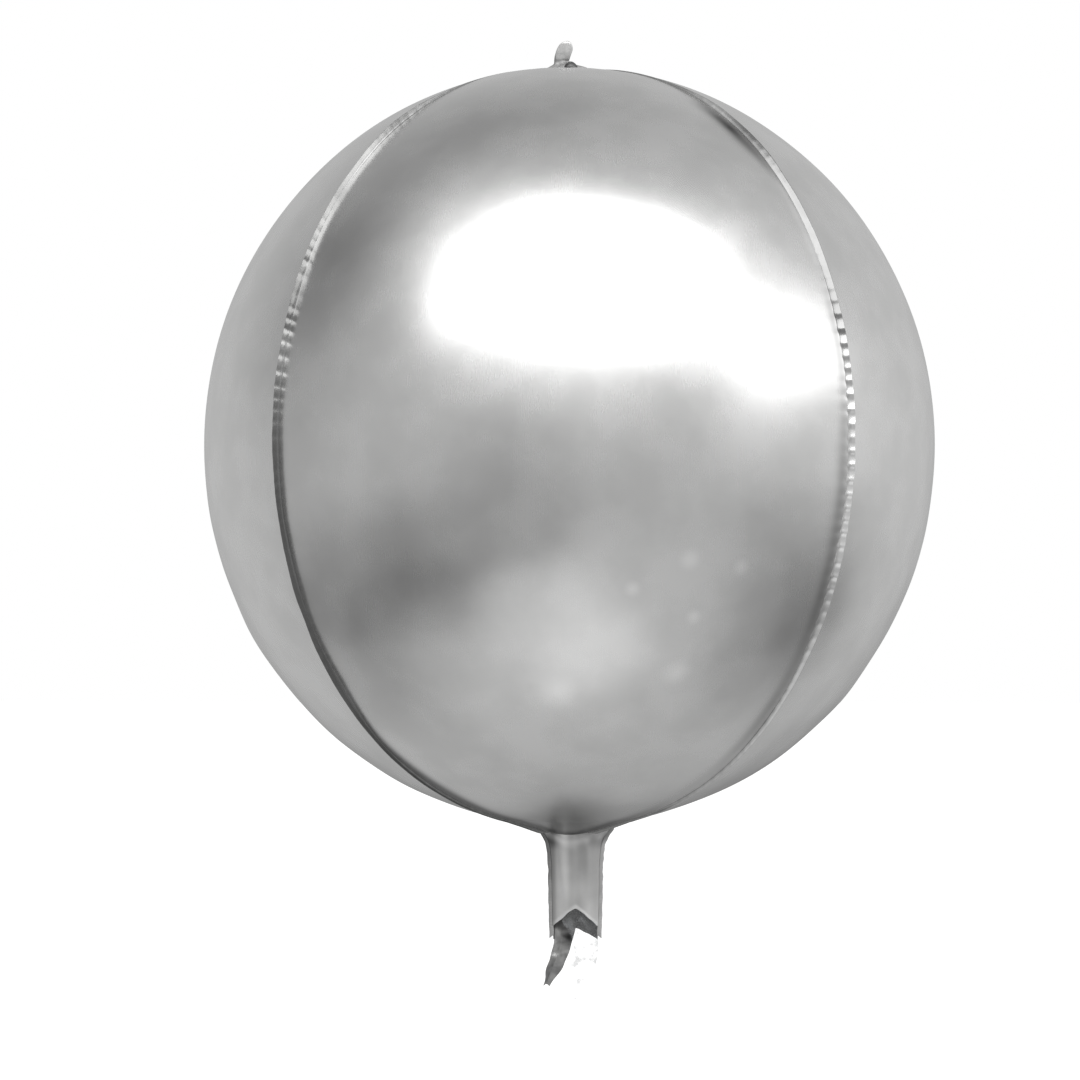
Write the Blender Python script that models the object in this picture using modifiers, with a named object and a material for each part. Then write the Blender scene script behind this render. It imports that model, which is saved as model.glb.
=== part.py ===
# Round foil balloon: four foil gores joined by standing seams, a hanging tab on the crown and
# a flat filling neck below, with its valve films and a loose foil tail.
# Metres, +Z up, +X to the right, the front faces -Y. The origin is the envelope's centre.
import math

import bmesh
import bpy

# Envelope: a spheroid, a little taller than wide, drawn down to the neck at its bottom
BODY_RADIUS = 0.190
BODY_HALF_HEIGHT = 0.197
WALL = 0.0012
GORE_ANGLE = math.pi / 2
GORE_STEPS = 10
PROFILE_STEPS = 26
POLE_CROWDING = 0.06  # pulls the profile's points towards both poles
CROWN_TIP_RADIUS = 0.0015
NECK_TIP_RADIUS = 0.0026
GATHER_RADIUS = 0.045
GATHER_DROP = 0.007
GATHER_POWER = 1.3

# Standing seams, each in a plane through the axis, halfway between two gores
GAP = 0.0003
SEAM_WIDTH = 0.0032
SEAM_THICKNESS = 0.0008
SEAM_FLUSH = 0.0004
SEAM_RISE_START = math.radians(12)
SEAM_RISE_END = math.radians(34)
SEAM_CROWN_END = 0.0020
SEAM_FOOT_RADIUS = 0.0215
SEAM_FOOT_LENGTH = 0.006
SEAM_NECK_END = 0.0038
SEAM_STEPS = 30

# Hanging tab, a little left of the axis; its outline is given from its own middle
TAB_MIDDLE = -0.0024
TAB_THICKNESS = 0.0012
TAB_HALF_WIDTH = 0.0045
TAB_TOP = 0.2135
TAB_ROOT = 0.1935
TAB_FOOT_BOTTOM = BODY_HALF_HEIGHT + 0.0004
TAB_FOOT_TOP = 0.2032
TAB_FOOT_HALF_WIDTH = 0.0095
TAB_FOOT_EDGE = 0.0022
TAB_ARC_STEPS = 8
FOLD_LEFT = 0.0015
FOLD_RIGHT = 0.0076
FOLD_TOP = 0.2028

# Filling neck, flat in the XZ plane, its layers stacked along Y, a little right of the axis.
# The outlines of its plies, seals, films and tail are given from its own middle.
NECK_MIDDLE = 0.0034
NECK_HALF_WIDTH = 0.0148
NECK_SEAL_WIDTH = 0.0025
NECK_SEAL_THICKNESS = 0.0014
NECK_TOP_STEPS = 12
PLY_THICKNESS = 0.0009
FILM_THICKNESS = 0.0006
FRONT_NOTCH = -0.2416
FRONT_TIP = -0.2512
BACK_NOTCH = -0.2524
BACK_TIP = -0.2580
SEAL_BOTTOM = -0.2550
FILM_HALF_WIDTH = 0.0115
FILM_TOP = -0.2048
FILM_MOUTH = -0.2388
FILM_LOOSE = -0.2608
FILM_BOTTOM = -0.2916
FILM_SWAY = 0.0060
BACK_FILM_BOTTOM = -0.2350
TAIL_TOP = -0.2373
TAIL_MOUTH = -0.2568
TAIL_BOTTOM = -0.2822
TAIL_SWAY = 0.0050
SLOT_REACH = 0.012
CUTTER_SIZE = 0.6

FILM_LAYER = GAP / 2 + FILM_THICKNESS / 2
PLY_LAYER = GAP / 2 + FILM_THICKNESS + GAP + PLY_THICKNESS / 2
PLY_HALF_WIDTH = NECK_HALF_WIDTH - NECK_SEAL_WIDTH - GAP

# Colour, roughness, metallic, alpha
FOIL = ((0.78, 0.78, 0.77), 0.28, 1.0, 1.0)
SEAM_FOIL = ((0.70, 0.70, 0.69), 0.22, 1.0, 1.0)
NECK_FOIL = ((0.62, 0.62, 0.61), 0.35, 1.0, 1.0)
TAIL_FOIL = ((0.42, 0.42, 0.42), 0.35, 1.0, 1.0)
CLEAR_FILM = ((0.93, 0.93, 0.93), 0.15, 0.0, 0.35)


def make_collection(name):
    collection = bpy.data.collections.new(name)
    bpy.context.scene.collection.children.link(collection)
    return collection


def add_material(obj, look):
    colour, roughness, metallic, alpha = look
    material = bpy.data.materials.new(obj.name)
    material.use_nodes = True
    shader = material.node_tree.nodes["Principled BSDF"]
    shader.inputs["Base Color"].default_value = (*colour, 1.0)
    shader.inputs["Roughness"].default_value = roughness
    shader.inputs["Metallic"].default_value = metallic
    shader.inputs["Alpha"].default_value = alpha
    material.diffuse_color = (*colour, alpha)
    obj.data.materials.append(material)


# Point of the envelope's profile at a polar angle from the crown, moved out by an offset:
# r = R sin t, z = H cos t, less the gather's drop D (1 - r / G)^p below the equator
def profile_point(angle, offset=0.0):
    radius = BODY_RADIUS * math.sin(angle)
    height = BODY_HALF_HEIGHT * math.cos(angle)
    radius_rate = BODY_RADIUS * math.cos(angle)
    height_rate = -BODY_HALF_HEIGHT * math.sin(angle)
    if height < 0.0 and radius < GATHER_RADIUS:
        share = 1.0 - radius / GATHER_RADIUS
        height -= GATHER_DROP * share ** GATHER_POWER
        slope = GATHER_DROP * GATHER_POWER / GATHER_RADIUS * share ** (GATHER_POWER - 1.0)
        height_rate += slope * radius_rate
    length = math.hypot(radius_rate, height_rate)
    return (radius - height_rate / length * offset, height + radius_rate / length * offset)


def crown_angle(radius):
    return math.asin(radius / BODY_RADIUS)


def neck_angle(radius):
    return math.pi - crown_angle(radius)


# Lowest height of the envelope's underside at a distance from the axis
def underside(radius):
    return profile_point(neck_angle(max(radius, NECK_TIP_RADIUS)))[1]


def spread_angles(start, end, steps):
    angles = []
    for step in range(steps + 1):
        share = step / steps
        share -= POLE_CROWDING * math.sin(2 * math.pi * share)
        angles.append(start + (end - start) * share)
    return angles


def smooth_step(value, low, high):
    share = min(max((value - low) / (high - low), 0.0), 1.0)
    return share * share * (3.0 - 2.0 * share)


# Width of a seam outside the envelope: flush at the crown, full from 34 degrees on, and cut off at the neck
def seam_width(angle):
    width = SEAM_FLUSH + (SEAM_WIDTH - SEAM_FLUSH) * smooth_step(angle, SEAM_RISE_START, SEAM_RISE_END)
    if angle > math.pi / 2:
        radius = BODY_RADIUS * math.sin(angle)
        foot = smooth_step(radius, SEAM_FOOT_RADIUS - SEAM_FOOT_LENGTH, SEAM_FOOT_RADIUS)
        width = SEAM_FLUSH + (width - SEAM_FLUSH) * foot
    return width


def add_cutter(name, collection, size, location, turn=0.0):
    mesh = bpy.data.meshes.new(name)
    shape = bmesh.new()
    bmesh.ops.create_cube(shape, size=1.0)
    bmesh.ops.scale(shape, vec=size, verts=shape.verts)
    shape.to_mesh(mesh)
    shape.free()
    obj = bpy.data.objects.new(name, mesh)
    obj.location = location
    obj.rotation_euler = (0.0, 0.0, turn)
    obj.hide_render = True
    obj.display_type = "WIRE"
    collection.objects.link(obj)
    return obj


def cut(obj, cutter):
    modifier = obj.modifiers.new(cutter.name, "BOOLEAN")
    modifier.operation = "DIFFERENCE"
    modifier.solver = "EXACT"
    modifier.object = cutter


# One gore: a quarter turn of the profile, thickened inwards, trimmed beside the seams
def add_gore(name, collection, centre, cutters):
    start = crown_angle(CROWN_TIP_RADIUS)
    end = neck_angle(NECK_TIP_RADIUS)
    points = [profile_point(angle) for angle in spread_angles(start, end, PROFILE_STEPS)]
    mesh = bpy.data.meshes.new(name)
    mesh.from_pydata([(r, 0.0, z) for r, z in points], [(i, i + 1) for i in range(PROFILE_STEPS)], [])
    obj = bpy.data.objects.new(name, mesh)
    obj.rotation_euler = (0.0, 0.0, centre - GORE_ANGLE / 2)
    collection.objects.link(obj)
    screw = obj.modifiers.new("turn", "SCREW")
    screw.axis = "Z"
    screw.angle = GORE_ANGLE
    screw.steps = GORE_STEPS
    screw.render_steps = GORE_STEPS
    screw.use_smooth_shade = True
    screw.use_merge_vertices = True
    screw.merge_threshold = 0.00001
    solidify = obj.modifiers.new("wall", "SOLIDIFY")
    solidify.thickness = WALL
    solidify.offset = -1.0
    for cutter in cutters:
        cut(obj, cutter)
    add_material(obj, FOIL)
    return obj


# A flat outline with a thickness. Its own X and Y are the plane's two directions.
def add_outline(name, collection, points, thickness, look):
    curve = bpy.data.curves.new(name, "CURVE")
    curve.dimensions = "2D"
    curve.fill_mode = "BOTH"
    curve.extrude = thickness / 2
    spline = curve.splines.new("POLY")
    spline.points.add(len(points) - 1)
    for point, (x, y) in zip(spline.points, points):
        point.co = (x, y, 0.0, 1.0)
    spline.use_cyclic_u = True
    obj = bpy.data.objects.new(name, curve)
    collection.objects.link(obj)
    add_material(obj, look)
    return obj


# A seam stands in a meridian plane and fills the slot between two gores
def add_seam(name, collection, turn):
    start = crown_angle(SEAM_CROWN_END)
    end = neck_angle(SEAM_NECK_END)
    angles = spread_angles(start, end, SEAM_STEPS)
    outer = [profile_point(angle, seam_width(angle)) for angle in angles]
    inner = [profile_point(angle, -WALL) for angle in angles]
    obj = add_outline(name, collection, outer + inner[::-1], SEAM_THICKNESS, SEAM_FOIL)
    obj.rotation_euler = (math.pi / 2, 0.0, turn)
    return obj


# A flat piece upright in the XZ plane, its middle at the given X and Y
def add_upright(name, collection, points, thickness, middle, look):
    obj = add_outline(name, collection, points, thickness, look)
    obj.rotation_euler = (math.pi / 2, 0.0, 0.0)
    obj.location = (*middle, 0.0)
    return obj


def add_tab(collection):
    arc_centre = TAB_TOP - TAB_HALF_WIDTH
    arc = []
    for step in range(TAB_ARC_STEPS + 1):
        angle = math.pi * step / TAB_ARC_STEPS
        arc.append((TAB_HALF_WIDTH * math.cos(angle), arc_centre + TAB_HALF_WIDTH * math.sin(angle)))
    right = [
        (TAB_HALF_WIDTH, TAB_ROOT),
        (TAB_HALF_WIDTH, TAB_FOOT_BOTTOM),
        (TAB_FOOT_HALF_WIDTH, TAB_FOOT_BOTTOM),
        (TAB_FOOT_HALF_WIDTH, TAB_FOOT_BOTTOM + TAB_FOOT_EDGE),
        (TAB_HALF_WIDTH, TAB_FOOT_TOP),
    ]
    left = [(-x, z) for x, z in right[::-1]]
    add_upright("top_tab", collection, right + arc + left, TAB_THICKNESS, (TAB_MIDDLE, 0.0), FOIL)
    fold = [
        (FOLD_LEFT, TAB_FOOT_BOTTOM),
        (FOLD_RIGHT, TAB_FOOT_BOTTOM),
        (FOLD_RIGHT, TAB_FOOT_BOTTOM + TAB_FOOT_EDGE),
        (FOLD_LEFT + TAB_FOOT_EDGE, FOLD_TOP),
        (FOLD_LEFT, FOLD_TOP - TAB_FOOT_EDGE),
    ]
    fold_y = -(TAB_THICKNESS / 2 + GAP + PLY_THICKNESS / 2)
    add_upright("tab_fold", collection, fold, PLY_THICKNESS, (TAB_MIDDLE, fold_y), TAIL_FOIL)


# Upper edge of a neck piece: it follows the envelope's underside, a gap below it
def neck_edge(start, end, steps):
    edge = []
    for step in range(steps + 1):
        x = start + (end - start) * step / steps
        edge.append((x, underside(abs(x + NECK_MIDDLE)) - GAP))
    return edge


def add_ply(name, collection, notch, tip, y):
    top = neck_edge(PLY_HALF_WIDTH, -PLY_HALF_WIDTH, NECK_TOP_STEPS)
    points = top + [(-PLY_HALF_WIDTH, tip), (0.0, notch), (PLY_HALF_WIDTH, tip)]
    add_upright(name, collection, points, PLY_THICKNESS, (NECK_MIDDLE, y), NECK_FOIL)


def add_neck_seal(name, collection, side):
    inner = side * (NECK_HALF_WIDTH - NECK_SEAL_WIDTH)
    outer = side * NECK_HALF_WIDTH
    points = neck_edge(inner, outer, 1) + [(outer, SEAL_BOTTOM), (inner, FRONT_TIP)]
    add_upright(name, collection, points, NECK_SEAL_THICKNESS, (NECK_MIDDLE, 0.0), NECK_FOIL)


# A thin sheet at the neck: a grid placed by a rule of (across 0 to 1, height), then thickened
def add_sheet(name, collection, top, bottom, columns, rows, place, thickness, look):
    mesh = bpy.data.meshes.new(name)
    shape = bmesh.new()
    bmesh.ops.create_grid(shape, x_segments=columns, y_segments=rows, size=0.5)
    for vertex in shape.verts:
        across = vertex.co.x + 0.5
        height = bottom + (top - bottom) * (vertex.co.y + 0.5)
        vertex.co = place(across, height)
    shape.to_mesh(mesh)
    shape.free()
    obj = bpy.data.objects.new(name, mesh)
    obj.location = (NECK_MIDDLE, 0.0, 0.0)
    collection.objects.link(obj)
    solidify = obj.modifiers.new("sheet", "SOLIDIFY")
    solidify.thickness = thickness
    solidify.offset = 0.0
    add_material(obj, look)
    return obj


def blend(share, first, second):
    return first + (second - first) * share


# The front film is as wide as the neck allows, then hangs out as a tongue that leans to the left
def place_front_film(across, height):
    loose = smooth_step(-height, -FILM_MOUTH, -FILM_LOOSE)
    hang = min(max((FILM_LOOSE - height) / (FILM_LOOSE - FILM_BOTTOM), 0.0), 1.0)
    left = blend(loose, -FILM_HALF_WIDTH, -0.0010) - 0.0050 * hang
    right = blend(loose, FILM_HALF_WIDTH, 0.0120) - 0.0130 * hang * hang
    sway = FILM_SWAY * math.sin(math.pi * hang) * smooth_step(hang, 0.0, 0.4)
    return (blend(across, left, right), -FILM_LAYER - sway, height)


def place_back_film(across, height):
    return (blend(across, -FILM_HALF_WIDTH, FILM_HALF_WIDTH), FILM_LAYER, height)


# The tail leans left and narrows, and swings back below the mouth
def place_tail(across, height):
    hang = min(max((TAIL_MOUTH - height) / (TAIL_MOUTH - TAIL_BOTTOM), 0.0), 1.0)
    tuck = min(max((height - TAIL_MOUTH) / (TAIL_TOP - TAIL_MOUTH), 0.0), 1.0)
    middle = -0.0036 - 0.0117 * hang + 0.0015 * tuck
    half_width = 0.0065 - 0.0045 * hang
    return (middle + half_width * (2 * across - 1), FILM_LAYER + TAIL_SWAY * hang * hang, height)


def build():
    for obj in list(bpy.data.objects):
        bpy.data.objects.remove(obj, do_unlink=True)
    parts = make_collection("round_foil_balloon")
    cutters = make_collection("cutters")

    slot = SEAM_THICKNESS + 2 * GAP
    slab = (CUTTER_SIZE, slot, CUTTER_SIZE)
    seam_slots = [
        add_cutter("seam_slot_a", cutters, slab, (0.0, 0.0, 0.0), math.pi / 4),
        add_cutter("seam_slot_b", cutters, slab, (0.0, 0.0, 0.0), -math.pi / 4),
    ]
    tab_size = (2 * (TAB_HALF_WIDTH + GAP), TAB_THICKNESS + 2 * GAP, 2 * SLOT_REACH)
    tab_slots = [add_cutter("tab_slot", cutters, tab_size, (TAB_MIDDLE, 0.0, BODY_HALF_HEIGHT))]

    # name, turn of its middle in quarter turns from +X, whether the tab's root passes through it
    gores = (("right", 0, True), ("back", 1, False), ("left", 2, True), ("front", 3, False))
    for side, quarters, slotted in gores:
        used = seam_slots + (tab_slots if slotted else [])
        add_gore("gore_" + side, parts, quarters * GORE_ANGLE, used)
    seams = (("back_right", 0), ("back_left", 1), ("front_left", 2), ("front_right", 3))
    for side, quarters in seams:
        add_seam("seam_" + side, parts, (quarters + 0.5) * GORE_ANGLE)

    add_tab(parts)
    add_ply("neck_front_ply", parts, FRONT_NOTCH, FRONT_TIP, -PLY_LAYER)
    add_ply("neck_back_ply", parts, BACK_NOTCH, BACK_TIP, PLY_LAYER)
    add_neck_seal("neck_seal_left", parts, -1)
    add_neck_seal("neck_seal_right", parts, 1)
    film = (FILM_THICKNESS, CLEAR_FILM)
    add_sheet("valve_film_front", parts, FILM_TOP, FILM_BOTTOM, 4, 24, place_front_film, *film)
    add_sheet("valve_film_back", parts, FILM_TOP, BACK_FILM_BOTTOM, 1, 1, place_back_film, *film)
    add_sheet("neck_tail", parts, TAIL_TOP, TAIL_BOTTOM, 2, 12, place_tail, FILM_THICKNESS, TAIL_FOIL)


build()
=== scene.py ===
import math

import bmesh
import bpy
import numpy as np
from mathutils import Matrix


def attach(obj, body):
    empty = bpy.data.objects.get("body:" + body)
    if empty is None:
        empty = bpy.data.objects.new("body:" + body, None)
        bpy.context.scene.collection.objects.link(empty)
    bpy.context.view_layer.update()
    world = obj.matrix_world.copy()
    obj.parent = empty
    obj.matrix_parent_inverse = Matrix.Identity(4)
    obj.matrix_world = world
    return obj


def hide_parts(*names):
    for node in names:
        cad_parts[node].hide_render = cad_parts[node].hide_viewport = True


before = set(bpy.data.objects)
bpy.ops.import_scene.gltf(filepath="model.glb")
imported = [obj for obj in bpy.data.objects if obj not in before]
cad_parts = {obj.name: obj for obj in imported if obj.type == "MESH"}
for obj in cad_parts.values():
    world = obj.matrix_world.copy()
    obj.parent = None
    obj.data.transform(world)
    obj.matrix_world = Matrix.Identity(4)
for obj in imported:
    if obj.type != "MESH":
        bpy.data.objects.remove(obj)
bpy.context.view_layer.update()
print("frame loaded:", len(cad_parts), "nodes")

# The photo's view: a level camera, a little right of the front and a little below the middle
photoView = {
    "distance": 1.33,
    "azimuth": 1.4,
    "elevation": -2.078,
    "turn": 2.057,  # how far the camera looks past the front, to the left
    "lens": 84.3,  # millimetres, as is the sensor's width
    "sensorWidth": 36.0,
    "clip": (0.05, 60.0),
}


# Unit vector of a direction: azimuth 0 is the front, positive to the right, elevation above the horizon
def direction(azimuth, elevation):
    across, up = math.radians(azimuth), math.radians(elevation)
    return (math.sin(across) * math.cos(up), -math.cos(across) * math.cos(up), math.sin(up))


# A new object in the scene
def addObject(name, data):
    obj = bpy.data.objects.new(name, data)
    bpy.context.scene.collection.objects.link(obj)
    return obj


# The photo's camera: stands at its distance in the view's direction, level, and turned to the left
def addCamera():
    data = bpy.data.cameras.new("photo_view")
    data.lens = photoView["lens"]
    data.sensor_width = photoView["sensorWidth"]
    data.clip_start, data.clip_end = photoView["clip"]
    camera = addObject("photo_view", data)
    place = direction(photoView["azimuth"], photoView["elevation"])
    turn = Matrix.Rotation(math.radians(photoView["turn"]), 4, "Z")
    level = Matrix.Rotation(math.pi / 2, 4, "X")
    stand = Matrix.Translation([photoView["distance"] * value for value in place])
    camera.matrix_world = stand @ turn @ level
    bpy.context.scene.camera = camera


addCamera()
print("camera placed")


# A socket that can be used in Python expressions: each operator adds its Math node
class Wire:
    def __init__(self, tree, socket=None):
        self.tree = tree
        self.socket = socket

    # Any node: its type, its settings, the values or links of its sockets, and the output to hand on
    def node(self, kind, settings=None, inputs=None, output=0):
        node = self.tree.nodes.new(kind)
        for key, value in (settings or {}).items():
            setattr(node, key, value)
        for key, value in (inputs or {}).items():
            if isinstance(value, Wire):
                self.tree.links.new(value.socket, node.inputs[key])
            else:
                node.inputs[key].default_value = value
        return Wire(self.tree, node.outputs[output] if len(node.outputs) else None)

    def math(self, operation, first, second=0.0):
        return self.node("ShaderNodeMath", {"operation": operation}, {0: first, 1: second})

    def __add__(self, other):
        return self.math("ADD", self, other)

    def __sub__(self, other):
        return self.math("SUBTRACT", self, other)

    def __rsub__(self, other):
        return self.math("SUBTRACT", other, self)

    def __mul__(self, other):
        return self.math("MULTIPLY", self, other)

    __radd__ = __add__
    __rmul__ = __mul__

    # 0 below low and 1 above high, with a soft S between
    def smooth(self, low, high):
        ease = {"interpolation_type": "SMOOTHSTEP", "clamp": True}
        return self.node("ShaderNodeMapRange", ease, {"Value": self, "From Min": low, "From Max": high})


# An empty material and the wire to build it with
def newMaterial(name):
    material = bpy.data.materials.new(name)
    material.use_nodes = True
    material.node_tree.nodes.clear()
    return material, Wire(material.node_tree)


# Noise on the given coordinates, 0 to 1, at a size in metres
def noise(wire, place, size, detail=2.0, roughness=0.5, stretch=(1.0, 1.0, 1.0)):
    scaled = wire.node("ShaderNodeMapping", {"vector_type": "POINT"}, {"Vector": place, "Scale": stretch})
    inputs = {"Vector": scaled, "Scale": 1.0 / size, "Detail": detail, "Roughness": roughness}
    return wire.node("ShaderNodeTexNoise", {}, inputs)


# The first colour where the share is 0, the second where it is 1
def mixColours(wire, share, first, second):
    settings = {"data_type": "RGBA"}
    inputs = {0: share, 6: (*first, 1.0), 7: (*second, 1.0)}
    return wire.node("ShaderNodeMix", settings, inputs, 2)


# Fine relief from a height in metres
def bump(wire, height):
    return wire.node("ShaderNodeBump", {}, {"Strength": 1.0, "Distance": 1.0, "Height": height})


# Ends a material with one glossy shader
def finishMaterial(wire, inputs):
    shader = wire.node("ShaderNodeBsdfPrincipled", {}, inputs)
    wire.node("ShaderNodeOutputMaterial", {}, {"Surface": shader})


cloudDetail = 3.0
foilPattern = {  # what all foils share
    "cloudEdges": (0.3, 0.7),
    "lines": (2.0, 0.6, (1.0, 0.03, 1.0)),  # detail, roughness, and how it is drawn out along the piece
    "grain": (2.0, 0.55),
    "lineSheen": 0.5,  # how much the lines change the roughness, next to the clouds
    "evenSheen": 0.75,  # the mean of the two together
    "creaseEdges": (0.0, 0.35),
}


# A metallised film: two close silvers in cloudy patches times the piece's tone, which carries its painted
# light and shade, a satin sheen that varies, the fine lines of the rolled film along the piece, tiny
# waviness, sharper creases and small soft dents, each in metres of height, with a painted highlight in each
# dent
def foilMaterial(name, look):
    material, wire = newMaterial(name)
    place = wire.node("ShaderNodeTexCoord", {}, {}, "Object")
    onFilm = wire.node("ShaderNodeUVMap", {"uv_map": "film"})
    # the tone attribute holds each piece's painted light and shade
    tone = wire.node("ShaderNodeAttribute", {"attribute_name": "tone"}, {}, "Fac")
    middle, spread = look["roughness"]
    lineHeight, lineSize = look["lines"]
    grainHeight, grainSize = look["grain"]
    clouds = noise(wire, place, look["clouds"], cloudDetail)
    silver = mixColours(wire, clouds.smooth(*foilPattern["cloudEdges"]), *look["silvers"])
    lines = noise(wire, onFilm, lineSize, *foilPattern["lines"])
    grain = noise(wire, place, grainSize, *foilPattern["grain"])
    sheen = clouds + foilPattern["lineSheen"] * lines - foilPattern["evenSheen"]
    roughness = middle + spread * sheen
    if "dullness" in look:
        roughness = roughness + look["dullness"] * (1.0 - tone)
    height = lineHeight * lines + grainHeight * grain
    if "creases" in look:
        creaseHeight, creaseSize = look["creases"]
        inputs = {"Vector": place, "Scale": 1.0 / creaseSize}
        cells = wire.node("ShaderNodeTexVoronoi", {"feature": "DISTANCE_TO_EDGE"}, inputs, "Distance")
        height = height + creaseHeight * cells.smooth(*foilPattern["creaseEdges"])
    for x, y, z, reach, depth in look.get("dents", []):
        inputs = {0: place, 1: (x, y, z)}
        apart = wire.node("ShaderNodeVectorMath", {"operation": "DISTANCE"}, inputs, 1).smooth(0.0, reach)
        height = height + depth * apart
        # painted highlight: the film is made lighter in each dent, a glint painted into its colour
        tone = tone + look["paintedDentGlint"] * (1.0 - apart)
    colour = wire.node("ShaderNodeVectorMath", {"operation": "SCALE"}, {0: silver, "Scale": tone})
    inputs = {
        "Base Color": colour,
        "Metallic": 1.0,
        "Roughness": roughness,
        "Normal": bump(wire, height),
    }
    finishMaterial(wire, inputs)
    return material


# The foils: dark and light silver, the size of the clouds, the roughness and how far it spreads, and the
# height and size of lines, grain and creases in metres
foilLooks = {
    "gore": {
        "silvers": ((0.775, 0.775, 0.77), (0.85, 0.85, 0.845)),
        "clouds": 0.026,
        "roughness": (0.27, 0.05),
        "lines": (0.0000015, 0.0010),
        "grain": (0.000010, 0.0016),
        "dullness": 0.13,  # how much rougher the film is where its tone is dark
        "paintedDentGlint": 0.16,  # painted highlight: how much lighter the film is painted in a dent, for its glint
        "dents": [  # place, reach and depth in metres
            (0.0827, -0.1607, -0.0607, 0.0058, 0.00006),
            (0.0611, -0.1608, -0.0837, 0.0052, 0.00006),
            (0.0330, -0.1741, -0.0710, 0.0052, 0.00005),
            (0.0595, -0.1718, -0.0574, 0.0070, 0.00005),
            (0.0530, -0.1486, -0.1097, 0.0095, 0.00009),
            (-0.0014, -0.1521, -0.1180, 0.0130, 0.00012),
        ],
    },
    "seam": {
        "silvers": ((0.90, 0.90, 0.895), (1.0, 1.0, 0.995)),
        "clouds": 0.012,
        "roughness": (0.24, 0.08),
        "lines": (0.000006, 0.0008),
        "grain": (0.000012, 0.0009),
    },
    "neck": {
        "silvers": ((0.66, 0.66, 0.655), (0.76, 0.76, 0.755)),
        "clouds": 0.016,
        "roughness": (0.32, 0.06),
        "lines": (0.000006, 0.0008),
        "grain": (0.000010, 0.0011),
    },
    "tab": {
        "silvers": ((0.74, 0.74, 0.735), (0.82, 0.82, 0.815)),
        "clouds": 0.006,
        "roughness": (0.50, 0.06),
        "lines": (0.000003, 0.0008),
        "grain": (0.000005, 0.0014),
    },
    "tail": {
        # painted shade: dark silvers for the loose tail, lifted again by the painted light of its tone
        "silvers": ((0.24, 0.24, 0.24), (0.38, 0.38, 0.375)),
        "clouds": 0.007,
        "roughness": (0.40, 0.08),
        "lines": (0.000004, 0.0008),
        "grain": (0.000008, 0.0011),
        "creases": (0.00003, 0.005),
    },
    "inside": {  # painted shade: near-black foil for the insides of the neck and the fold beside the tab, which lie in shade
        "silvers": ((0.085, 0.085, 0.085), (0.105, 0.105, 0.105)),
        "clouds": 0.010,
        "roughness": (0.50, 0.06),
        "lines": (0.000003, 0.0008),
        "grain": (0.000006, 0.0014),
    },
}
foils = {name: foilMaterial(name + "_foil_look", look) for name, look in foilLooks.items()}


clearFilmLook = {
    "colour": (0.50, 0.51, 0.52),
    "creaseColour": (0.26, 0.27, 0.28),
    "alpha": 0.06,
    "creaseAlpha": 0.20,  # added in the creases
    "roughness": 0.30,
    "bending": 1.49,  # of light, as an index
    "cloudSize": 0.006,
    "creaseEdges": (0.52, 0.68),
    "rippleSize": 0.0022,
    "rippleHeight": 0.0001,
}


# Clear film: nearly nothing but its gloss, with cloudy grey creases where it is crumpled
def clearFilmMaterial(name, look):
    material, wire = newMaterial(name)
    place = wire.node("ShaderNodeTexCoord", {}, {}, "Object")
    crease = noise(wire, place, look["cloudSize"], cloudDetail).smooth(*look["creaseEdges"])
    ripples = look["rippleHeight"] * noise(wire, place, look["rippleSize"])
    inputs = {
        "Base Color": mixColours(wire, crease, look["colour"], look["creaseColour"]),
        "Alpha": look["alpha"] + look["creaseAlpha"] * crease,
        "Roughness": look["roughness"],
        "Normal": bump(wire, ripples),
        "IOR": look["bending"],
    }
    finishMaterial(wire, inputs)
    return material


clearFilm = clearFilmMaterial("clear_film_look", clearFilmLook)
print("materials made")


# How far a value has come from the start to the end, 0 to 1
def progress(value, start, end):
    return np.clip((value - start) / (end - start), 0.0, 1.0)


# 0 below low and the height above high, with a soft S between
def smoothStep(value, low, high, height=1.0):
    share = progress(value, low, high)
    return height * (share * share * (3.0 - 2.0 * share))


# The height at the middle, falling off to both sides as a bell
def bell(value, middle, width, height=1.0):
    return height * np.exp(-(((value - middle) / width) ** 2))


# Slow random wave along a line: a sum of sines with seeded lengths and phases. The wave is given by its
# height and its length.
def wander(along, wave, seed):
    rng = np.random.default_rng(seed)
    total = np.zeros_like(along)
    sines = 10
    for _ in range(sines):
        waveLength = wave[1] * rng.uniform(0.7, 2.0)
        total += np.sin(2.0 * math.pi * along / waveLength + rng.uniform(0.0, 2.0 * math.pi))
    return wave[0] * (total / math.sqrt(sines))


# The same in space: a sum of plane waves that run in seeded directions
def swell(points, wave, seed):
    rng = np.random.default_rng(seed)
    total = np.zeros(points.shape[:-1])
    sines = 18
    for _ in range(sines):
        run = rng.normal(size=3)
        run *= 2.0 * math.pi / (np.linalg.norm(run) * wave[1] * rng.uniform(0.7, 1.6))
        total += np.sin(points @ run + rng.uniform(0.0, 2.0 * math.pi))
    return wave[0] * (total * math.sqrt(2.0 / sines))


# Crumples of a sheet in the plane of x and z: the sum of its waves, whose seeds count on
def crumpled(x, z, waves, seed):
    flat = np.stack([x, 0.0 * x, z], axis=-1)
    return sum(swell(flat, wave, seed + step) for step, wave in enumerate(waves))


# Value at each place from a list of (place, value), with straight lines between them
def stopsAt(value, stops):
    places, values = zip(*stops)
    return np.interp(value, places, values)


# The same along a line of even steps, with its corners rounded by a mean over five steps to each side
def roundedStopsAt(line, stops):
    reach = 5
    window = np.hanning(2 * reach + 3)[1:-1]
    padded = np.pad(stopsAt(line, stops), reach, mode="reflect", reflect_type="odd")
    return np.convolve(padded, window / window.sum(), mode="valid")
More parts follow.
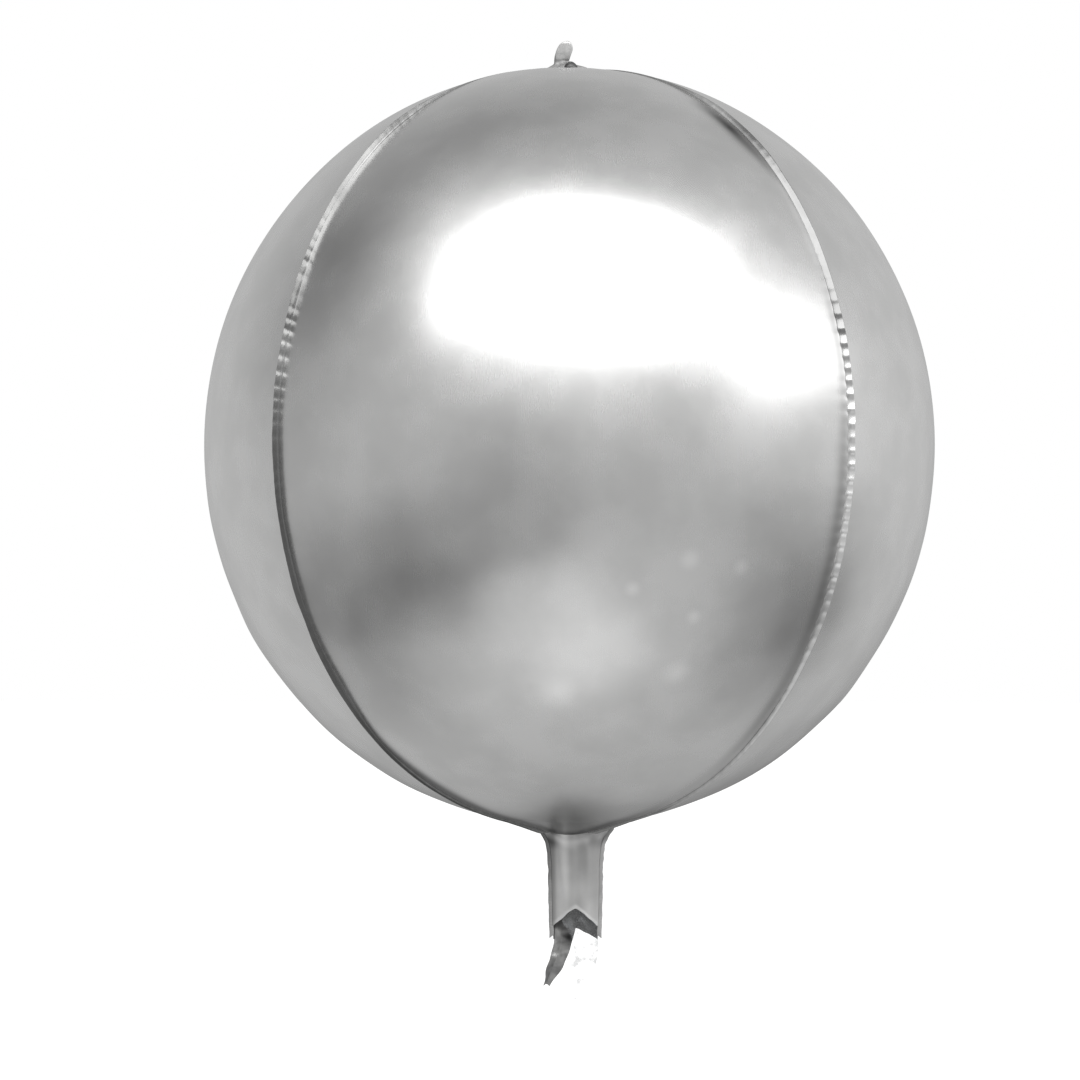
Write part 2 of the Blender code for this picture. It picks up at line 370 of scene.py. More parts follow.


# A surface from a grid of points, rows by columns. A closed grid joins its last column to its first.
# Caps fill the first and last rows of a closed grid; poles merge the points of the first and last rows.
# The tone, one value or a grid, multiplies the material's silver; it carries the painted light and shade.
def addSurface(name, grid, film, tone=1.0, closed=False, caps=False, poles=False, flip=False):
    rows, columns = grid.shape[:2]
    index = np.arange(rows * columns).reshape(rows, columns)
    left = index if closed else index[:, :-1]
    right = np.roll(index, -1, axis=1) if closed else index[:, 1:]
    quads = np.stack([left[:-1], right[:-1], right[1:], left[1:]], axis=-1).reshape(-1, 4)
    faces = quads[:, ::-1].tolist() if flip else quads.tolist()
    if caps:
        ends = [index[0][::-1], index[-1]]
        faces += [end[::-1].tolist() if flip else end.tolist() for end in ends]
    mesh = bpy.data.meshes.new(name)
    mesh.from_pydata(grid.reshape(-1, 3).tolist(), [], faces)
    layer = mesh.uv_layers.new(name="film")
    corners = np.empty(len(mesh.loops), np.int32)
    mesh.loops.foreach_get("vertex_index", corners)
    layer.data.foreach_set("uv", film.reshape(-1, 2)[corners].astype(np.float32).ravel())
    shade = mesh.attributes.new("tone", "FLOAT", "POINT")
    shade.data.foreach_set("value", np.broadcast_to(tone, (rows, columns)).astype(np.float32).ravel())
    if poles:
        shape = bmesh.new()
        shape.from_mesh(mesh)
        shape.verts.ensure_lookup_table()
        ends = list(shape.verts)[:columns] + list(shape.verts)[-columns:]
        bmesh.ops.remove_doubles(shape, verts=ends, dist=1e-7)
        shape.to_mesh(mesh)
        shape.free()
    mesh.shade_smooth()
    return addObject(name, mesh)


# Gives a piece its materials and its body, and hides the nodes that it stands for
def finishPiece(obj, materials, nodes):
    for material in materials:
        obj.data.materials.append(material)
    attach(obj, "root")
    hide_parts(*nodes)


# Makes a sheet into a closed film. Offset -1 grows it inwards and 0 to both sides; inside counts on to the
# material of its other face.
def thicken(obj, thickness, offset, inside=0):
    solidify = obj.modifiers.new("film", "SOLIDIFY")
    solidify.thickness = thickness
    solidify.offset = offset
    solidify.use_even_offset = True
    solidify.material_offset = inside
    return obj


envelope = {
    "radius": 0.190,
    "halfHeight": 0.197,
    "gather": (0.007, 1.3, 0.045),  # drop and power, and within what distance of the axis
    "wall": 0.0011,
    "slot": 0.0002,  # half the room left for the seam between two gores
    "slotLimit": 0.3,  # its most near the poles, in radians
    "poleRadius": 0.01,  # nearer to the axis the film's own coordinates narrow no more
    "rows": 560,
    "columns": 96,
    "innerColumns": 10,
    "profileSteps": 6000,
}


# Envelope profile at a polar angle from the crown, moved out along its normal:
# radius = R sin t, height = H cos t, less the drop D (1 - radius / G)^p close above the neck.
# Returns radius, height and the two parts of the normal.
def profileAt(angle, offset=0.0):
    drop, power, reach = envelope["gather"]
    radius = envelope["radius"] * np.sin(angle)
    height = envelope["halfHeight"] * np.cos(angle)
    radiusRate = envelope["radius"] * np.cos(angle)
    heightRate = -envelope["halfHeight"] * np.sin(angle)
    share = np.clip(1.0 - radius / reach, 0.0, 1.0) * (height < 0.0)
    height = height - drop * share**power
    heightRate = heightRate + drop * power / reach * share ** (power - 1.0) * radiusRate
    length = np.hypot(radiusRate, heightRate)
    outRadius, outHeight = -heightRate / length, radiusRate / length
    return radius + outRadius * offset, height + outHeight * offset, outRadius, outHeight


# Height of the envelope's underside at a distance from the axis
def undersideAt(radius):
    angle = math.pi - np.arcsin(np.clip(radius / envelope["radius"], 0.0, 1.0))
    return profileAt(angle)[1]


fineAngles = np.linspace(0.0, math.pi, envelope["profileSteps"] + 1)
fineRadius, fineHeight = profileAt(fineAngles)[:2]
fineSteps = np.hypot(np.diff(fineRadius), np.diff(fineHeight))
fineLengths = np.concatenate([[0.0], np.cumsum(fineSteps)])


# Polar angle at a length along the meridian from the crown
def angleAt(length):
    return np.interp(length, fineLengths, fineAngles)


# Length along the meridian from the crown to a polar angle
def lengthAt(angle):
    return np.interp(angle, fineAngles, fineLengths)


# Point on the envelope, its outward normal and the level direction round the axis
def envelopeFrame(angle, turn, offset=0.0):
    parts = np.broadcast_arrays(*profileAt(angle, offset), turn)
    radius, height, outRadius, outHeight, turn = parts
    across, away = np.cos(turn), np.sin(turn)
    point = np.stack([radius * across, radius * away, height], axis=-1)
    normal = np.stack([outRadius * across, outRadius * away, outHeight], axis=-1)
    level = np.stack([-away, across, np.zeros_like(turn)], axis=-1)
    return point, normal, level


# Seams, each by degrees from the crown: how it leans (degrees, positive anticlockwise seen from above), how
# strongly it is puckered (metres), its share of the full width, the painted light and shade along its foil,
# and how far off and how dark the painted shade line is that runs beside it in the front and back gores,
# standing in for the shade of a crease (above 1 it is a painted light)
seams = {
    "front_left": {
        "turn": 225.0,
        "seed": 11,
        "lean": [(0, 0), (14, 4), (22, 6), (34, 5), (60, 4), (76, 5), (84, 6), (125, 4), (170, 4)],
        "pucker": [(0, 0), (30, 2e-5), (48, 5e-5), (62, 9e-5), (84, 1.5e-4), (92, 6e-5), (170, 3e-5)],
        "width": [(0, 0.25), (28, 0.30), (39, 0.95), (66, 1.0), (122, 1.0), (132, 0.80), (152, 0.42),
                  (170, 0.42), (176, 0.60)],
        "tone": [(0, 0.40), (28, 0.34), (35, 0.30), (38, 0.24), (41, 0.31), (45, 0.38), (50, 0.34),
                 (53, 0.27), (57, 0.34), (61, 0.33), (65, 0.28), (70, 0.23), (74, 0.26), (77, 0.42),
                 (80, 0.41), (84, 0.33), (90, 0.25), (112, 0.24), (122, 0.19), (130, 0.22), (140, 0.26),
                 (152, 0.32), (170, 0.32)],
        "paintedCreaseAway": [(120, 0.0010), (136, 0.0024), (146, 0.0042), (158, 0.0062), (172, 0.0080)],
        "paintedCreaseShading": [(126, 1.0), (134, 0.70), (142, 0.40), (150, 0.26), (158, 0.22), (172, 0.26)],
    },
    "front_right": {
        "turn": 315.0,
        "seed": 23,
        "lean": [(0, 0), (14, 20), (24, 30), (36, 48), (60, 50), (150, 50), (158, 25), (165, 0), (172, 0)],
        "pucker": [(0, 0), (30, 2e-5), (52, 3e-5), (66, 8e-5), (76, 2.4e-4), (84, 3.6e-4), (108, 3.6e-4),
                   (118, 9e-5), (170, 3e-5)],
        "width": [(0, 0.3), (24, 0.4), (34, 0.8), (44, 1.0), (112, 1.0), (124, 0.80), (150, 0.40),
                  (164, 0.35), (172, 0.50), (180, 0.60)],
        "tone": [(0, 0.60), (33, 0.60), (36, 0.55), (39, 0.30), (42, 0.21), (45, 0.22), (48, 0.26),
                 (53, 0.29), (62, 0.29), (72, 0.27), (76, 0.38), (80, 0.60), (85, 0.90), (88, 1.0),
                 (104, 1.0), (109, 0.80), (116, 0.66), (132, 0.66), (156, 0.66), (164, 0.50), (172, 0.42)],
        "paintedCreaseAway": [(30, 0.0052), (42, 0.0050), (52, 0.0024), (80, 0.0024), (90, 0.0035), (120, 0.0037),
                       (136, 0.0042), (150, 0.0060), (170, 0.0070)],
        "paintedCreaseShading": [(30, 1.0), (33, 0.64), (36, 0.24), (39, 0.08), (42, 0.30), (45, 0.44), (48, 0.66),
                       (52, 1.15), (64, 1.15), (72, 0.72), (84, 0.80), (88, 0.74), (94, 0.62), (104, 0.62),
                       (112, 0.54), (118, 0.68), (124, 0.74), (130, 0.60), (136, 0.66), (144, 0.80),
                       (154, 0.90), (160, 0.62), (164, 0.44), (169, 0.26)],
    },
    "back_right": {
        "turn": 45.0,
        "seed": 37,
        "lean": [(0, 0), (16, 30), (34, 14), (70, 8), (110, -8), (165, 0)],
        "pucker": [(0, 0), (30, 5e-5), (60, 2.6e-4), (110, 3.2e-4), (140, 1.6e-4), (170, 3e-5)],
        "width": [(0, 1.0), (125, 1.0), (160, 0.60), (180, 0.45)],
        "tone": [(0, 0.78), (26, 0.60), (60, 0.50), (110, 0.45), (170, 0.36)],
        "paintedCreaseAway": [(60, 0.0030), (130, 0.0036), (170, 0.0060)],
        "paintedCreaseShading": [(60, 1.0), (90, 0.78), (130, 0.70), (160, 0.50), (172, 0.30)],
    },
    "back_left": {
        "turn": 135.0,
        "seed": 53,
        "lean": [(0, 0), (16, -24), (38, -10), (80, -6), (120, 6), (165, 0)],
        "pucker": [(0, 0), (30, 5e-5), (55, 2.4e-4), (120, 3.4e-4), (145, 1.4e-4), (170, 3e-5)],
        "width": [(0, 1.0), (125, 1.0), (160, 0.60), (180, 0.45)],
        "tone": [(0, 0.78), (26, 0.60), (50, 0.50), (120, 0.42), (170, 0.36)],
        "paintedCreaseAway": [(60, 0.0030), (130, 0.0036), (170, 0.0060)],
        "paintedCreaseShading": [(60, 1.0), (100, 0.76), (140, 0.66), (160, 0.50), (172, 0.30)],
    },
}
puckers = {
    "filmShare": 0.35,  # how much of a fin's puckers reaches the gores beside it
    "pitch": 0.0065,
    "decay": 0.0026,
    "coarseShare": 0.30,
    "coarsePitch": 0.017,
    "coarseDecay": 0.007,
    "drift": 1.3,  # how far their phase wanders, in radians, and over how many of them
    "driftPitches": 7.0,
    "unevenness": 0.35,  # the same for their strength
    "unevenPitches": 4.0,
    "overtone": 0.25,
}


# Puckers along a seam: a sine of the given pitch whose phase and strength wander, with its overtone
def puckerAt(seam, length, pitch, seedShift=0):
    strength = stopsAt(np.degrees(angleAt(length)), seam["pucker"])
    seed = seam["seed"] + seedShift
    drift = wander(length, (puckers["drift"], puckers["driftPitches"] * pitch), seed)
    phase = 2.0 * math.pi * length / pitch + drift
    uneven = 1.0 + wander(length, (puckers["unevenness"], puckers["unevenPitches"] * pitch), seed + 1)
    return strength * uneven * (np.sin(phase) + puckers["overtone"] * np.sin(2.0 * phase + 1.0))


# How the film rises towards a seam, and the distances from the axis between which this sets in
ridge = {"height": 0.0009, "decay": 0.012, "fade": (0.050, 0.130)}
poleFade = (0.001, 0.020)  # the same for all that stands out of the smooth envelope


# How far the ridge has set in at a distance from the axis
def ridgeFade(radius):
    return smoothStep(radius, *ridge["fade"])


relief = {
    "unevenness": (0.00014, 0.085),
    "lowUnevenness": (0.00016, 0.042),  # more, between these depths below the equator
    "lowReach": (-0.02, 0.06),
    "crownWrinkles": (0.022, 0.014, 0.00016),  # how far from the axis, how wide their band, how high
    "neckWrinkles": (0.034, 0.016, 0.00010),
    "wrinkleTurns": 26.0,
    "wrinkleSway": (2.0, 0.03),  # in radians
    "parting": 1.5,  # angle from the crown where the ones end and the others start
}
halfGore = math.pi / 4  # half the turn that a gore takes up
# Painted shade on the underside, in front of the neck and behind it, where the film is gathered: the dark
# reflection and shade of the gathered film and the neck, painted into the film's colour
paintedNeckShade = {"middle": 0.0034, "halfWidth": 0.0180, "reach": (0.050, 0.110), "tone": 0.24}
# creasePainted: whether a gore gets the painted shade lines beside its seams
gores = {
    "right": {"turn": 0.0, "low": "front_right", "high": "back_right", "seed": 101, "creasePainted": 0.0},
    "back": {"turn": 90.0, "low": "back_right", "high": "back_left", "seed": 202, "creasePainted": 1.0},
    "left": {"turn": 180.0, "low": "back_left", "high": "front_left", "seed": 303, "creasePainted": 0.0},
    "front": {"turn": 270.0, "low": "front_left", "high": "front_right", "seed": 404, "creasePainted": 1.0},
}
sides = (("low", 1.0), ("high", -1.0))


# Distance round the envelope from a point of a gore to the seam on one of its sides
def seamDistance(radius, turn, sign):
    return radius * (halfGore + sign * turn)


# How far the film stands out of the smooth envelope: a ridge and puckers that die away from each seam,
# slow unevenness, and short radial wrinkles round the crown and above the neck
def goreRelief(gore, length, angle, turn, radius, points):
    height = np.zeros(points.shape[:-1])
    for side, sign in sides:
        seam = seams[gore[side]]
        away = seamDistance(radius, turn, sign)
        height += ridge["height"] * ridgeFade(radius) * np.exp(-away / ridge["decay"])
        fine = puckerAt(seam, length, puckers["pitch"]) * np.exp(-away / puckers["decay"])
        coarse = puckerAt(seam, length, puckers["coarsePitch"], 5) * np.exp(-away / puckers["coarseDecay"])
        height += puckers["filmShare"] * (fine + puckers["coarseShare"] * coarse)
    below = smoothStep(-points[..., 2], *relief["lowReach"])
    height += swell(points, relief["unevenness"], gore["seed"])
    height += below * swell(points, relief["lowUnevenness"], gore["seed"] + 1)
    sway = wander(length, relief["wrinkleSway"], gore["seed"] + 2)
    folds = np.cos(relief["wrinkleTurns"] * turn + sway + gore["seed"])
    height += bell(radius, *relief["crownWrinkles"]) * folds * (angle < relief["parting"])
    height += bell(radius, *relief["neckWrinkles"]) * folds * (angle > relief["parting"])
    return height * smoothStep(radius, *poleFade)


# Painted light and shade on the film, all of them bells: painted shade above the neck, and beside each seam
# a painted line, darker or lighter, that stands in for the shade of a crease there
def goreTone(gore, angle, turn, radius, points):
    degrees = np.degrees(angle)
    # painted shade above the neck, a bell across it that fades away from the axis
    nearAxis = 1.0 - smoothStep(np.abs(points[..., 1]), *paintedNeckShade["reach"])
    shadeAboveNeck = bell(points[..., 0], paintedNeckShade["middle"], paintedNeckShade["halfWidth"]) * nearAxis * (points[..., 2] < 0.0)
    tone = 1.0 - (1.0 - paintedNeckShade["tone"]) * shadeAboveNeck
    for side, sign in sides:
        seam = seams[gore[side]]
        # painted shade line beside the seam: its distance and how dark it is, lighter where above 1
        away = stopsAt(degrees, seam["paintedCreaseAway"])
        depth = gore["creasePainted"] * (1.0 - stopsAt(degrees, seam["paintedCreaseShading"]))
        tone = tone * (1.0 - depth * bell(seamDistance(radius, turn, sign), away, away))
    return tone


# One gore: rows down the meridian, columns across it that crowd towards the seams, and an inner wall
def addGore(name, gore):
    length = np.linspace(0.0, fineLengths[-1], envelope["rows"])[:, None]
    angle = angleAt(length)
    radius = profileAt(angle)[0]
    edge = halfGore - np.minimum(envelope["slot"] / np.maximum(radius, 1e-6), envelope["slotLimit"])
    outer = edge * np.sin(math.pi / 2 * np.linspace(-1.0, 1.0, envelope["columns"]))
    inner = edge * np.linspace(1.0, -1.0, envelope["innerColumns"])
    middle = math.radians(gore["turn"])
    points, normals, _ = envelopeFrame(angle, middle + outer)
    height = goreRelief(gore, length, angle, outer, radius, points)
    outerGrid = points + normals * height[..., None]
    innerGrid = envelopeFrame(angle, middle + inner, -envelope["wall"])[0]
    grid = np.concatenate([outerGrid, innerGrid], axis=1)
    grid[[0, -1], :, :2] = 0.0
    grid[0, : envelope["columns"], 2] = envelope["halfHeight"]
    turns = np.concatenate([outer, inner], axis=1)
    wide = turns * np.maximum(radius, envelope["poleRadius"])
    film = np.stack([wide, np.broadcast_to(length, turns.shape)], axis=-1)
    tone = goreTone(gore, angle, turns, radius, grid)
    return addSurface(name, grid, film, tone, closed=True, poles=True, flip=True)


for side, gore in gores.items():
    piece = addGore("foil_gore_" + side, gore)
    finishPiece(piece, [foils["gore"]], ["gore_" + side])
print("gores made")


fin = {
    "width": 0.0031,
    "unevenness": (0.04, 0.03),  # of its width, as a share
    "shares": [0.0, 0.11, 0.19, 0.28, 0.40, 0.54, 0.68, 0.82, 0.94, 1.0],  # of its section's points
    "sway": (3.0, 0.06),  # how its lean wanders, in degrees
    "fineRipple": 1.1,  # how much of the puckers it takes
    "coarseRipple": 0.8,
    "rootRipple": 0.35,  # how much of that is left at its root, and where it grows to all
    "rippleReach": (0.1, 0.6),
    "root": 0.0008,  # how deep it starts in the film
    "halfThickness": 0.00014,
    "fillet": 0.0004,
    "filletReach": 0.0007,
    "edgeRound": 0.8,  # in half thicknesses
    "bendReach": 0.0012,
    "flush": 0.0003,  # how far it stands out at the crown
    "rise": (17.0, 35.0),  # where it rises to its full width, in degrees from the crown
    "start": 0.0020,  # this and the foot are distances from the axis
    "footStart": 0.0150,
    "footEnd": 0.0215,
    "rows": 760,
}


# One seam fin: a thin strip that stands on the meridian, leans, ripples and ends in a rounded edge,
# as a closed section carried down the meridian
def addFin(name, seam):
    top = lengthAt(math.asin(fin["start"] / envelope["radius"]))
    bottom = lengthAt(math.pi - math.asin(fin["footStart"] / envelope["radius"]))
    length = np.linspace(top, bottom, fin["rows"])
    angle = angleAt(length)
    degrees = np.degrees(angle)
    radius = profileAt(angle)[0]
    fine = puckerAt(seam, length, puckers["pitch"])
    coarse = puckers["coarseShare"] * puckerAt(seam, length, puckers["coarsePitch"], 5)
    rise = ridge["height"] * ridgeFade(radius) + puckers["filmShare"] * (fine + coarse)
    rise = rise * smoothStep(radius, *poleFade)
    root, normal, level = envelopeFrame(angle, math.radians(seam["turn"]))
    root = root + normal * rise[:, None]
    low = degrees > 90.0
    foot = smoothStep(radius, fin["footStart"], fin["footEnd"]) * low + 1.0 - low
    foot = foot * stopsAt(degrees, seam["width"])
    width = (fin["width"] - fin["flush"]) * smoothStep(degrees, *fin["rise"]) * foot
    width = fin["flush"] + width * (1.0 + wander(length, fin["unevenness"], seam["seed"] + 9))
    lean = np.radians(stopsAt(degrees, seam["lean"]) + wander(length, fin["sway"], seam["seed"] + 7))
    shares = np.array(fin["shares"])
    reach = -fin["root"] + (width[:, None] + fin["root"]) * shares
    bend = lean[:, None] * smoothStep(reach, 0.0, fin["bendReach"])
    along = np.cos(bend)[..., None] * normal[:, None] + np.sin(bend)[..., None] * level[:, None]
    across = np.cos(bend)[..., None] * level[:, None] - np.sin(bend)[..., None] * normal[:, None]
    steps = np.diff(reach, axis=1)[..., None] * 0.5 * (along[:, 1:] + along[:, :-1])
    first = root[:, None] - normal[:, None] * fin["root"]
    spine = np.concatenate([first, first + np.cumsum(steps, axis=1)], axis=1)
    growing = fin["rootRipple"] + (1.0 - fin["rootRipple"]) * smoothStep(shares, *fin["rippleReach"])
    ripple = growing * (fin["fineRipple"] * fine + fin["coarseRipple"] * coarse)[:, None]
    spine = spine + across * ripple[..., None]
    nearRoot = np.clip(1.0 - np.maximum(reach, 0.0) / fin["filletReach"], 0.0, 1.0)
    half = fin["halfThickness"] + fin["fillet"] * nearRoot**2
    leftSide = spine + across * half[..., None]
    rightSide = spine - across * half[..., None]
    tip = spine[:, -1:] + along[:, -1:] * fin["edgeRound"] * fin["halfThickness"]
    grid = np.concatenate([leftSide, tip, rightSide[:, ::-1]], axis=1)
    wide = np.concatenate([reach, reach[:, -1:], reach[:, ::-1]], axis=1)
    film = np.stack([wide, np.broadcast_to(length[:, None], wide.shape)], axis=-1)
    # painted light and shade along the fin: dark lines and bright ribbons set by degrees
    tone = stopsAt(degrees, seam["tone"])[:, None]
    return addSurface(name, grid, film, tone, closed=True, caps=True)


for side, seam in seams.items():
    piece = addFin("seam_fin_" + side, seam)
    finishPiece(piece, [foils["seam"]], ["seam_" + side])
print("seams made")


tab = {
    "bottom": 0.1950,
    "top": 0.2136,
    "widths": [(0.1950, 0.0122), (0.1985, 0.0114), (0.1998, 0.0098), (0.2008, 0.0074), (0.2018, 0.0050),
               (0.2030, 0.0039), (0.2061, 0.0042), (0.2093, 0.0043), (0.2113, 0.0036), (0.2125, 0.0028),
               (0.2132, 0.0018), (0.2136, 0.0006)],
    "depths": [(0.1950, 0.0072), (0.1985, 0.0062), (0.1998, 0.0046), (0.2008, 0.0031), (0.2018, 0.0020),
               (0.2032, 0.0012), (0.2066, 0.0010), (0.2128, 0.0009), (0.2136, 0.0003)],
    "middles": [(0.1950, -0.0006), (0.2000, -0.0010), (0.2030, -0.0040), (0.2061, -0.0033),
                (0.2093, -0.0022), (0.2119, -0.0016), (0.2136, -0.0010)],
    # painted light and shade by height, darkest just above the foot
    "paintedShading": [(0.1950, 0.95), (0.1985, 0.90), (0.1997, 0.80), (0.2006, 0.60), (0.2020, 0.38),
              (0.2032, 0.34), (0.2042, 0.42), (0.2056, 0.52), (0.2070, 0.62), (0.2084, 0.85),
              (0.2136, 0.80)],
    "flatFrom": (0.2000, 0.2045),  # heights between which the fluted foot turns flat
    "filmRadius": 0.002,
    "seed": 71,
    "rows": 110,
    "columns": 72,
    "creaseTurns": 5.0,
    "creaseStart": 0.6,
    "creaseDepth": 0.10,
    "twist": (0.5, 0.012),  # how the creases wander, in radians
    "dentAcross": (-0.0042, 0.0026),  # its middle and its width, and the same by height with its depth
    "dentHeight": (0.2066, 0.0016, 0.00012),
    "crumples": [(0.00005, 0.0075)],
    "leanFrom": 0.2010,
    "leanDegrees": 9.0,  # its top leans to the front
}


# Hanging tab: a flattened tube that opens into a fluted foot on the crown and closes at its rounded top.
# Its sections are ovals whose width, depth and middle follow the lists by height, with a few long creases,
# and its colour carries painted light and shade by height.
def addTab():
    height = np.linspace(tab["bottom"], tab["top"], tab["rows"])
    around = np.linspace(0.0, 2.0 * math.pi, tab["columns"], endpoint=False)
    width = roundedStopsAt(height, tab["widths"])[:, None]
    depth = roundedStopsAt(height, tab["depths"])[:, None]
    middle = roundedStopsAt(height, tab["middles"])[:, None]
    upper = smoothStep(height, *tab["flatFrom"])[:, None]
    twist = wander(height, tab["twist"], tab["seed"] + 3)[:, None]
    creases = np.cos(tab["creaseTurns"] * around + tab["creaseStart"] + twist)
    creases = 1.0 + tab["creaseDepth"] * creases
    x = middle + width * np.cos(around) * (creases * (1.0 - upper) + upper)
    y = depth * np.sin(around) * creases
    z = np.broadcast_to(height[:, None], x.shape)
    dent = bell(height, *tab["dentHeight"])[:, None] * bell(x, *tab["dentAcross"])
    y = y + dent + crumpled(x, z, tab["crumples"], tab["seed"]) * upper
    y = y - math.tan(math.radians(tab["leanDegrees"])) * np.maximum(z - tab["leanFrom"], 0.0) * upper
    grid = np.stack([x, y, z], axis=-1)
    film = np.stack([np.broadcast_to(around * tab["filmRadius"], x.shape), z], axis=-1)
    # painted light and shade by height
    tone = roundedStopsAt(height, tab["paintedShading"])[:, None]
    return addSurface("crown_tab", grid, film, tone, closed=True, caps=True)


finishPiece(addTab(), [foils["tab"]], ["top_tab"])


# Shares across and along a sheet, as two grids of rows by columns
def sheetShares(sheet, left):
    return np.meshgrid(np.linspace(left, 1.0, sheet["columns"]), np.linspace(0.0, 1.0, sheet["rows"]))


# A thin sheet from the three coordinates of its points, with the first and the last as the film's own
def addSheet(name, x, y, z, thickness, tone=1.0):
    obj = addSurface(name, np.stack([x, y, z], axis=-1), np.stack([x, z], axis=-1), tone)
    return thicken(obj, thickness, 0.0)


tabFold = {
    "left": -0.0025,
    "width": 0.0066,
    "bottom": 0.1976,
    "front": -0.0066,
    "height": 0.0042,
    "arch": (0.14, 0.76),  # the start and the share of the half sine that its top follows
    "archPower": 0.8,
    "rim": 0.0004,
    "shift": 0.0004,  # of its top, to the right
    "slope": 0.0016,  # of its top, to the back
    "curl": 0.0012,
    "tone": 1.6,
    "thickness": 0.0003,
    "rows": 20,
    "columns": 26,
}


# The small corner folded over at the tab's right foot: a curled flap with a rounded top, before the tab,
# in the near-black foil as painted shade, lifted a little by its tone
def addTabFold():
    across, up = sheetShares(tabFold, 0.0)
    x = tabFold["left"] + tabFold["width"] * across + tabFold["shift"] * up
    arch = np.sin(math.pi * (tabFold["arch"][0] + tabFold["arch"][1] * across)) ** tabFold["archPower"]
    z = tabFold["bottom"] + (tabFold["height"] * arch + tabFold["rim"]) * up
    curl = np.sin(math.pi * up) * np.sin(math.pi * across)
    y = tabFold["front"] - tabFold["curl"] * curl + tabFold["slope"] * up
    return addSheet("crown_tab_fold", x, y, z, tabFold["thickness"], tabFold["tone"])


# the fold is painted dark with the near-black foil, as it lies in shade
finishPiece(addTabFold(), [foils["inside"]], ["tab_fold"])
print("tab made")


neck = {
    "middle": 0.0034,
    "halfWidths": [(-0.2620, 0.0134), (-0.2500, 0.0140), (-0.2320, 0.0144), (-0.2200, 0.0145),
                   (-0.2143, 0.0149), (-0.2100, 0.0154), (-0.2069, 0.0161), (-0.2048, 0.0170),
                   (-0.2027, 0.0184), (-0.2000, 0.0204)],
    "rimHalfWidth": 0.0185,  # of the funnel's rim, against the envelope's underside
    "rimRoom": 0.002,
    "rimRise": 0.0009,  # how far it reaches into the envelope
    "funnelDepth": 0.0105,
    "funnelReach": 0.0034,
    "halfGap": 0.00045,
    "bulge": 0.0016,
    "sealShare": 0.8,  # how far its plies stop short of its sides, in widths of the seals
    "notchSoftness": 0.004,
    "ragged": (0.00022, 0.006),  # how uneven the cut is
    "cutHalfWidth": 0.013,
    "evenFolds": 0.6,  # their share next to uneven ones
    "foldPitch": 0.0125,
    "foldStart": -0.0058,
    "unevenFolds": [(0.4, 0.0085)],
    "foldSquash": 0.35,
    "foldFree": 0.25,  # the share from each side in which all folds fade
    "lipReach": 0.0030,
    "lipTurn": 0.0002,
    "rows": 110,
    "rowPower": 1.15,  # crowds the rows at the top
    "columns": 64,
    "thickness": 0.00025,
}
seal = {
    "width": 0.0024,
    "halfThickness": 0.00035,
    "top": -0.1990,
    "bottom": -0.2576,
    "paintedShading": {  # painted shade by height: darker towards the top, under the envelope, most of all on the left
        "left": [(-0.2576, 0.90), (-0.2400, 0.85), (-0.2320, 0.74), (-0.2240, 0.58), (-0.2150, 0.50),
                 (-0.2060, 0.34)],
        "right": [(-0.2576, 1.0), (-0.2080, 1.0), (-0.2040, 0.60)],
    },
    "squareness": 0.45,
    "ragged": (0.00012, 0.006),
    "crimp": 0.00003,
    "crimpPitch": 0.0016,
    "sway": (0.00015, 0.012),
    "corner": (0.2510, 0.2576, 0.0010),  # from where to where it drops, and how far
    "rows": 150,
    "columns": 20,
}
plies = {
    "front": {"side": -1.0, "notch": -0.2414, "tip": -0.2516, "seed": 501, "fold": 0.00034},
    "back": {"side": 1.0, "notch": -0.2524, "tip": -0.2584, "seed": 601, "fold": 0.00030},
}


# Painted light and shade on a ply: the sum of its painted lights (a stripe left of the middle, more light
# towards the mouth, most of all right of the middle, and a highlight along the cut lip) and random streaks,
# less the painted shades at its left side and in its throat
def toneOfPly(x, z, lip, seed):
    base, lowLight, lipLight = 0.87, 0.12, 0.22
    paintedStripe = bell(x, -0.0066, 0.0036, 0.42)
    paintedLowStripe = bell(x, 0.0060, 0.0045, 0.16)
    low = smoothStep(-z, 0.2180, 0.2380) * (lowLight + paintedLowStripe)
    streaks = wander(x, (0.03, 0.0055), seed)
    side = smoothStep(-x, 0.0094, 0.0122, 0.35)
    throatShade = bell(z, -0.2062, 0.0036, 0.30)
    return (base + paintedStripe + low + streaks + lipLight * lip) * (1.0 - side - throatShade)


